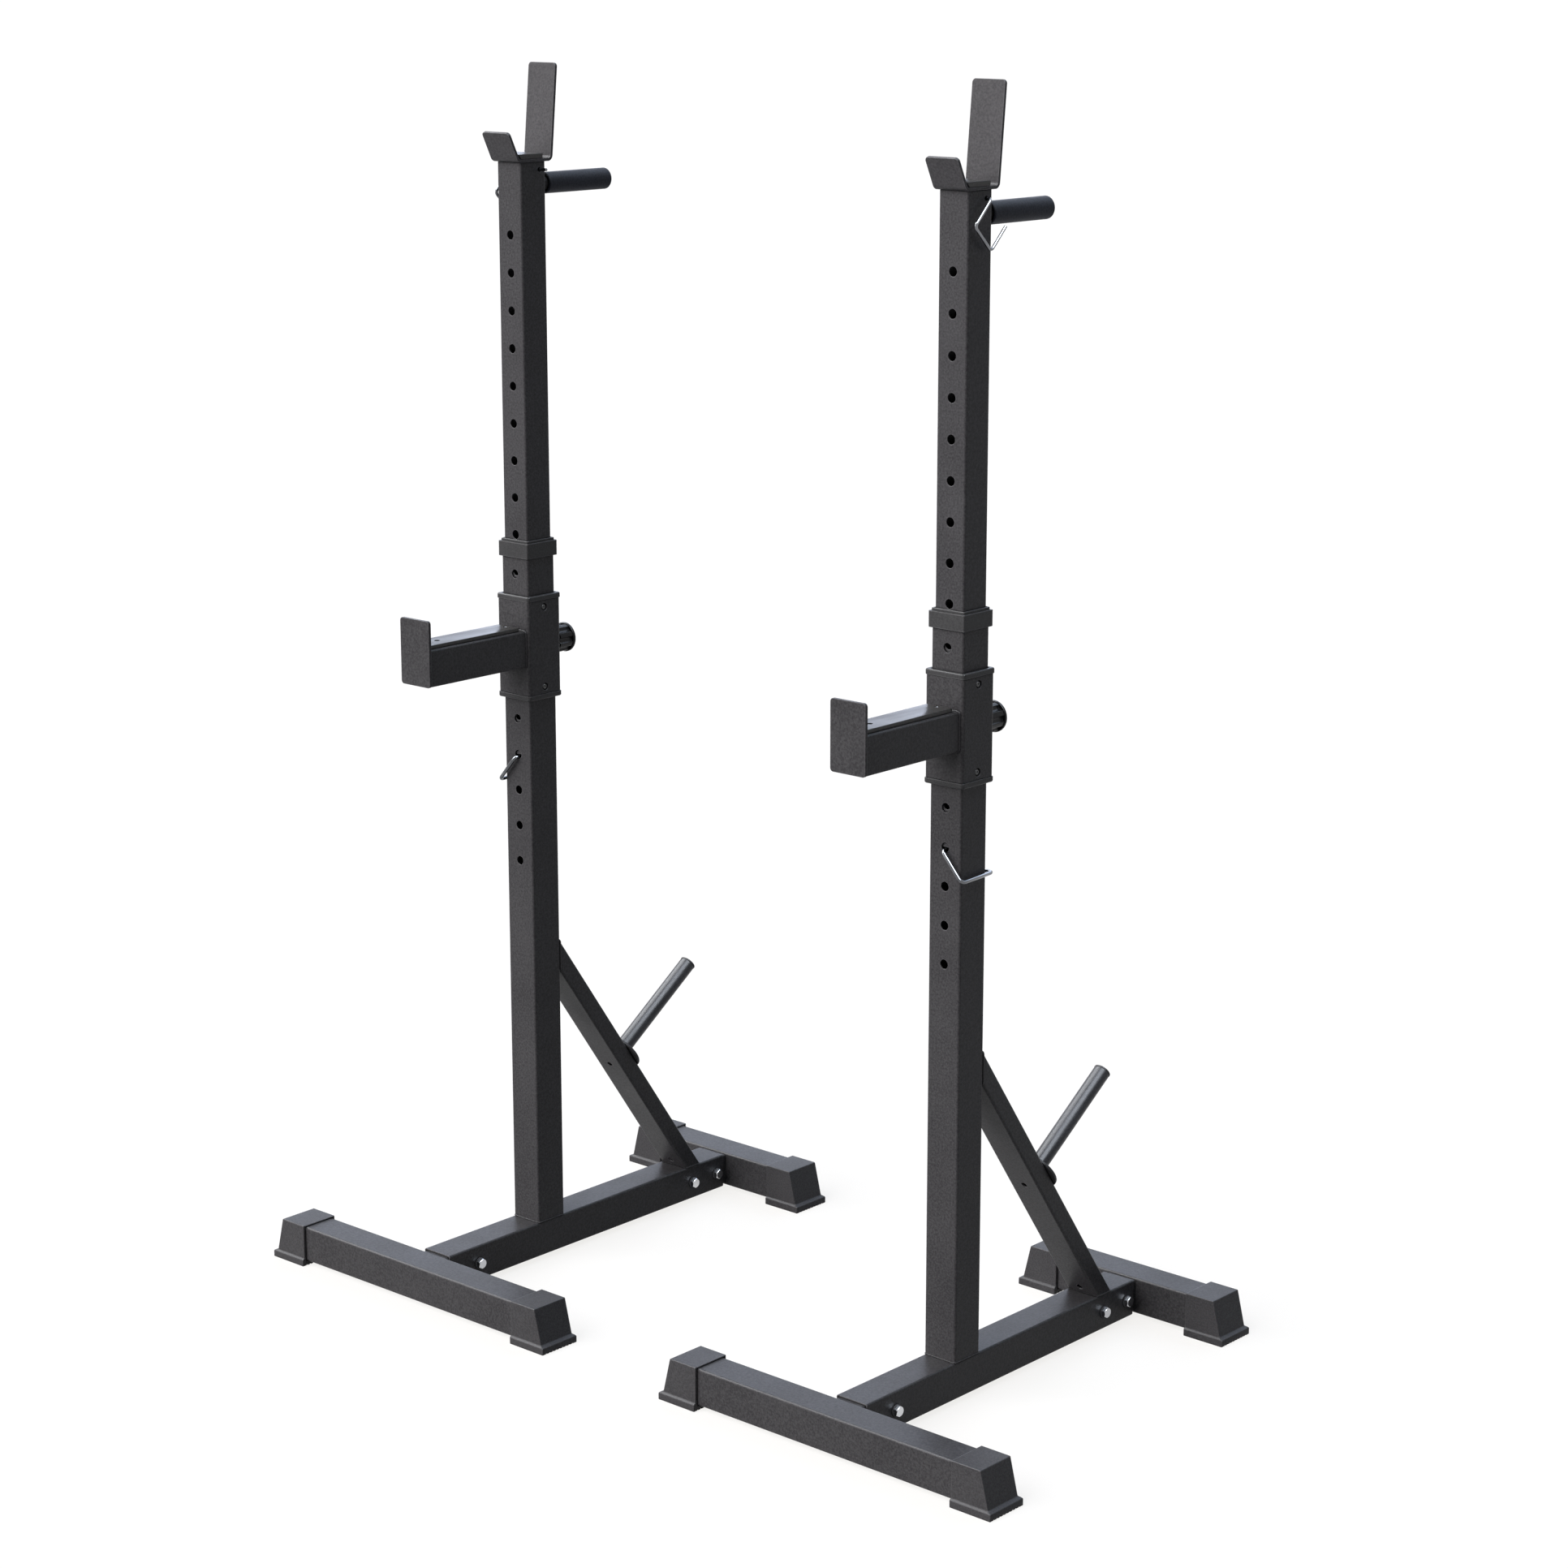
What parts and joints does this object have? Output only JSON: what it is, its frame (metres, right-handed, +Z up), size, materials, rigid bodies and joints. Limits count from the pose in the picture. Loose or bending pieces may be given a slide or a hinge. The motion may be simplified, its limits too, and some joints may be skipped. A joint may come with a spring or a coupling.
{
  "type": "squat stand",
  "caption": "Pair of free-standing squat stands with telescoping posts, bar forks, sliding spotter arms, pull-up handles and plate pegs.",
  "frame": {"origin": "on the floor, in the middle of the footprint of the pair", "axes": "+X along the cross bars and a racked barbell, +Y from the spotter arms to the pegs, +Z up"},
  "size_m": [1.2936, 0.6826, 1.6568],
  "materials": {
    "black_powder_coat": "satin black powder coat with a fine texture",
    "black_moulded_plastic": "matte black moulded plastic",
    "grip_plastic": "satin black grip tube",
    "gloss_black_plastic": "gloss black",
    "pad_rubber": "satin black wear pad",
    "zinc_plated_steel": "bright zinc plating"
  },
  "bodies": {
    "right_base": {"right_front_cross_bar": "black_powder_coat", "right_rear_cross_bar": "black_powder_coat", "right_base_beam": "black_powder_coat", "right_front_bolt": "zinc_plated_steel", "right_rear_bolt_1": "zinc_plated_steel", "right_rear_bolt_2": "zinc_plated_steel", "right_front_foot_left": "black_moulded_plastic", "right_front_foot_right": "black_moulded_plastic", "right_rear_foot_left": "black_moulded_plastic", "right_rear_foot_right": "black_moulded_plastic", "right_outer_post": "black_powder_coat", "right_post_collar": "black_moulded_plastic", "right_rear_brace": "black_powder_coat", "right_plate_peg": "black_powder_coat", "right_peg_flange": "black_moulded_plastic", "right_peg_cap": "black_moulded_plastic"},
    "right_mast": {"right_inner_post": "black_powder_coat", "right_bar_fork": "black_powder_coat", "right_fork_pad": "pad_rubber", "right_handle_rod": "black_powder_coat", "right_handle_grip": "grip_plastic"},
    "right_fork_pin_body": {"right_fork_pin": "zinc_plated_steel"},
    "right_lock_pin_body": {"right_lock_pin": "zinc_plated_steel"},
    "right_arm": {"right_arm_sleeve": "black_powder_coat", "right_sleeve_top_bush": "black_moulded_plastic", "right_sleeve_bottom_bush": "black_moulded_plastic", "right_arm_tube": "black_powder_coat", "right_arm_end_plate": "black_powder_coat", "right_arm_pad": "pad_rubber"},
    "right_knob_body": {"right_pull_knob": "gloss_black_plastic"},
    "left_base": {"left_front_cross_bar": "black_powder_coat", "left_rear_cross_bar": "black_powder_coat", "left_base_beam": "black_powder_coat", "left_front_bolt": "zinc_plated_steel", "left_rear_bolt_1": "zinc_plated_steel", "left_rear_bolt_2": "zinc_plated_steel", "left_front_foot_left": "black_moulded_plastic", "left_front_foot_right": "black_moulded_plastic", "left_rear_foot_left": "black_moulded_plastic", "left_rear_foot_right": "black_moulded_plastic", "left_outer_post": "black_powder_coat", "left_post_collar": "black_moulded_plastic", "left_rear_brace": "black_powder_coat", "left_plate_peg": "black_powder_coat", "left_peg_flange": "black_moulded_plastic", "left_peg_cap": "black_moulded_plastic"},
    "left_mast": {"left_inner_post": "black_powder_coat", "left_bar_fork": "black_powder_coat", "left_fork_pad": "pad_rubber", "left_handle_rod": "black_powder_coat", "left_handle_grip": "grip_plastic"},
    "left_fork_pin_body": {"left_fork_pin": "zinc_plated_steel"},
    "left_lock_pin_body": {"left_lock_pin": "zinc_plated_steel"},
    "left_arm": {"left_arm_sleeve": "black_powder_coat", "left_sleeve_top_bush": "black_moulded_plastic", "left_sleeve_bottom_bush": "black_moulded_plastic", "left_arm_tube": "black_powder_coat", "left_arm_end_plate": "black_powder_coat", "left_arm_pad": "pad_rubber"},
    "left_knob_body": {"left_pull_knob": "gloss_black_plastic"}
  },
  "joints": [
    {"name": "right_post_height", "type": "slide", "parent": "right_base", "child": "right_mast", "axis": [0, 0, 1], "range_m": [0, 0.2]},
    {"name": "right_arm_height", "type": "slide", "parent": "right_base", "child": "right_arm", "axis": [0, 0, 1], "range_m": [-0.05, 0.05]},
    {"name": "right_knob_pull", "type": "slide", "parent": "right_arm", "child": "right_knob_body", "axis": [0, 1, 0], "range_m": [0, 0.008], "stiffness_N_per_m": 800, "springref_m": -0.006},
    {"name": "right_lock_pin_swing", "type": "hinge", "parent": "right_base", "child": "right_lock_pin_body", "pos_m": [0.376, -0.08025, 0.7278], "axis": [0, -1, 0], "range_deg": [0, 85]},
    {"name": "right_fork_pin_pull", "type": "slide", "parent": "right_mast", "child": "right_fork_pin_body", "axis": [1, 0, 0], "range_m": [0, 0.07]},
    {"name": "left_post_height", "type": "slide", "parent": "left_base", "child": "left_mast", "axis": [0, 0, 1], "range_m": [0, 0.2]},
    {"name": "left_arm_height", "type": "slide", "parent": "left_base", "child": "left_arm", "axis": [0, 0, 1], "range_m": [-0.05, 0.05]},
    {"name": "left_knob_pull", "type": "slide", "parent": "left_arm", "child": "left_knob_body", "axis": [0, 1, 0], "range_m": [0, 0.008], "stiffness_N_per_m": 800, "springref_m": -0.006},
    {"name": "left_lock_pin_swing", "type": "hinge", "parent": "left_base", "child": "left_lock_pin_body", "pos_m": [-0.376, -0.08025, 0.7278], "axis": [0, 1, 0], "range_deg": [0, 85]},
    {"name": "left_fork_pin_pull", "type": "slide", "parent": "left_mast", "child": "left_fork_pin_body", "axis": [-1, 0, 0], "range_m": [0, 0.07]},
    {"name": "stand_spacing", "type": "slide", "parent": "right_base", "child": "left_base", "axis": [1, 0, 0], "range_m": [-0.3, 0.1]}
  ]
}
